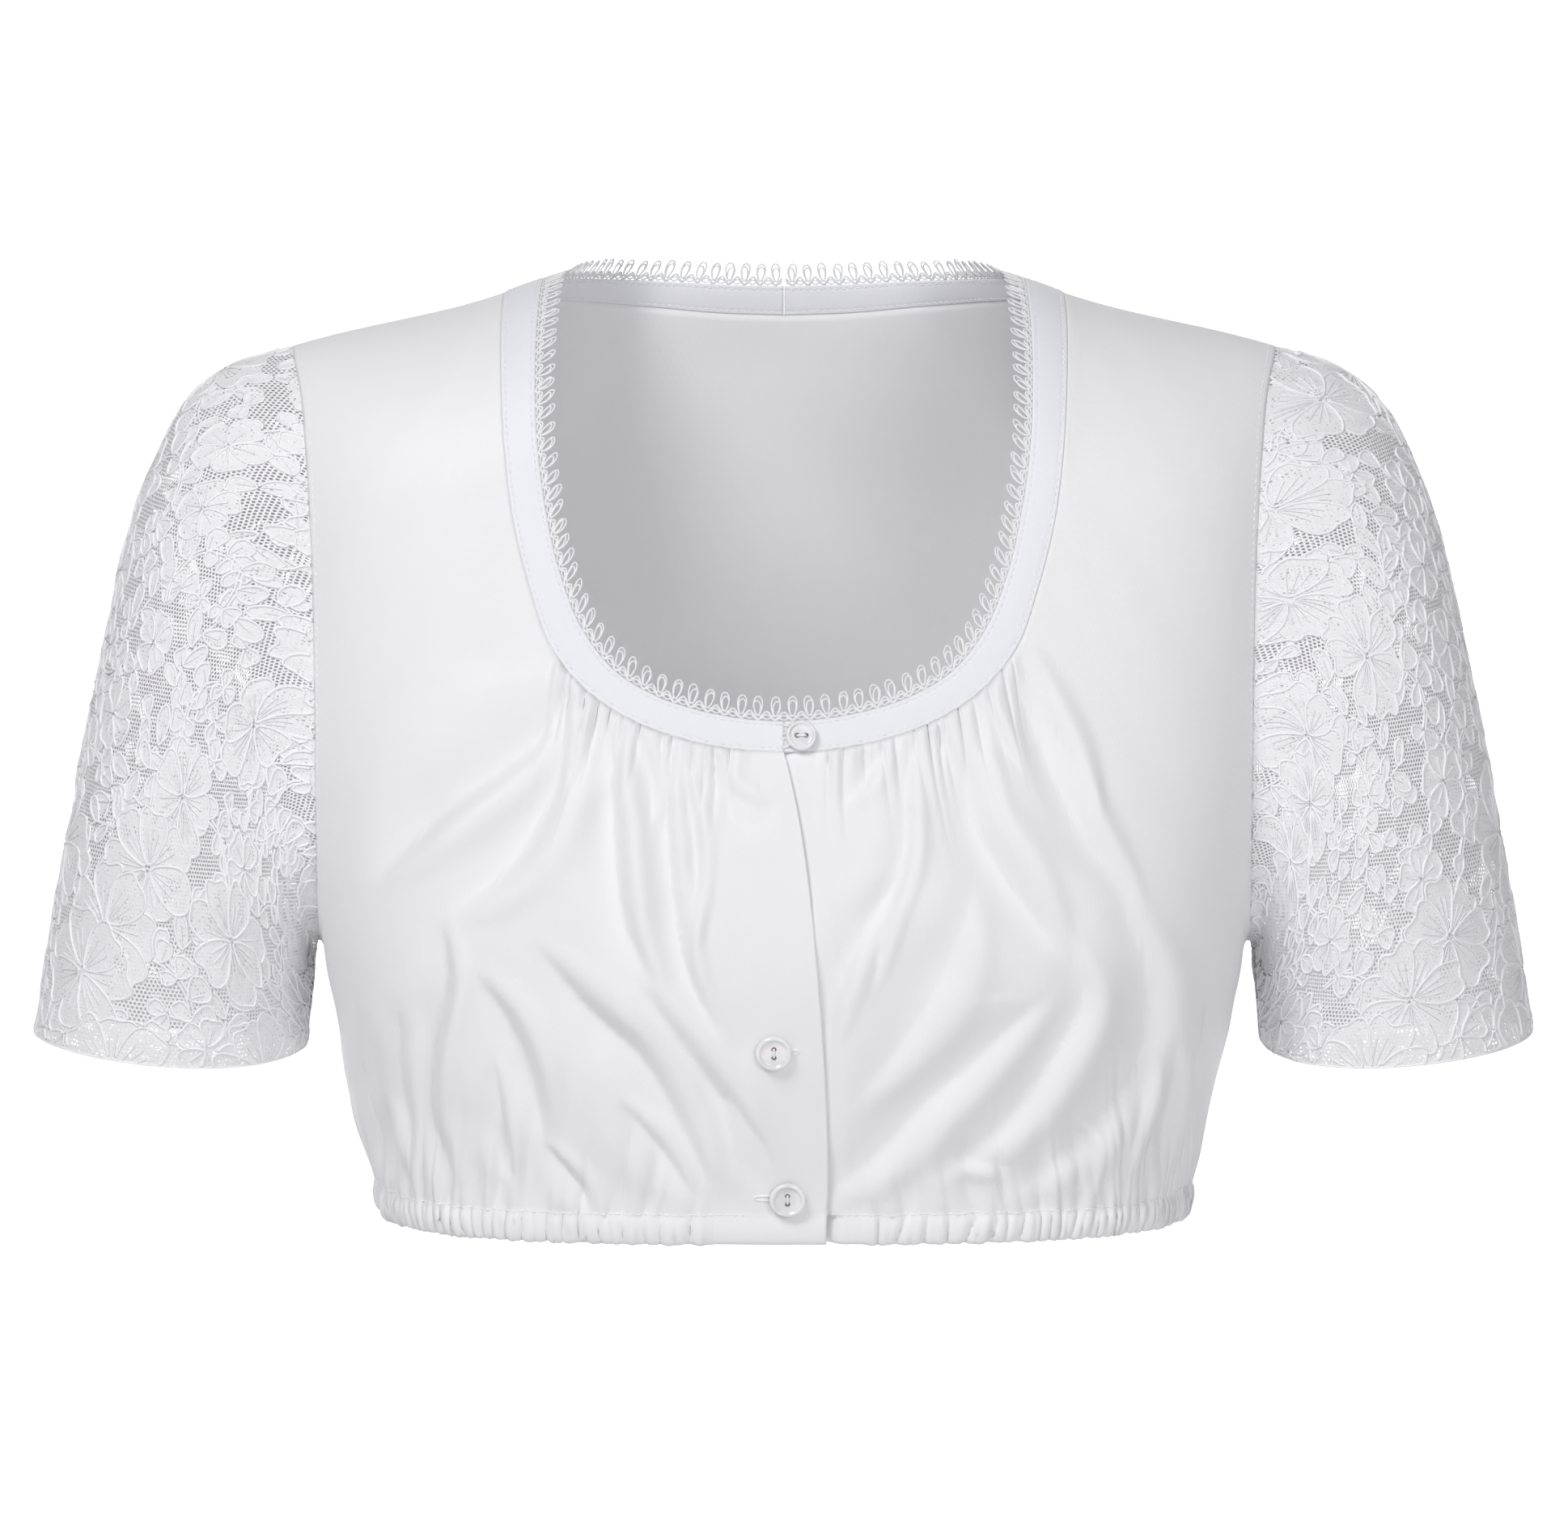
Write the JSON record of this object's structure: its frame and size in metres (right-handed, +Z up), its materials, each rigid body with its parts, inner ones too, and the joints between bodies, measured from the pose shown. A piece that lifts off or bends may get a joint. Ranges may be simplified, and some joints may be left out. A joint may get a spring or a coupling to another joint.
{
  "type": "dirndl blouse",
  "caption": "Cropped dirndl blouse in its worn, hollow shape: gathered front and back, short lace sleeves, round neck band with picot lace, buttoned front.",
  "frame": {"origin": "midway between the tops of the two shoulders, where the wearer holds the blouse", "axes": "+X to the wearer's left, -Y to the front, +Z up"},
  "size_m": [0.5388, 0.2093, 0.3419],
  "materials": {
    "cotton_satin": "fine white cotton satin weave, soft sheen, gathered",
    "band_cotton": "the same cotton folded double and edge stitched",
    "corded_lace": "white corded flower lace on a fine net ground",
    "picot_lace": "narrow cotton lace edging of small loops",
    "button_pearl": "polished white pearl polyester with a raised rim"
  },
  "bodies": {
    "root": {"front_right": "cotton_satin", "front_left": "cotton_satin", "back": "cotton_satin", "sleeve_right": "corded_lace", "sleeve_left": "corded_lace", "neck_band_right": "band_cotton", "neck_band_left": "band_cotton", "neck_lace_right": "picot_lace", "neck_lace_left": "picot_lace", "button_top": "button_pearl", "button_middle": "button_pearl", "button_bottom": "button_pearl"}
  },
  "joints": []
}
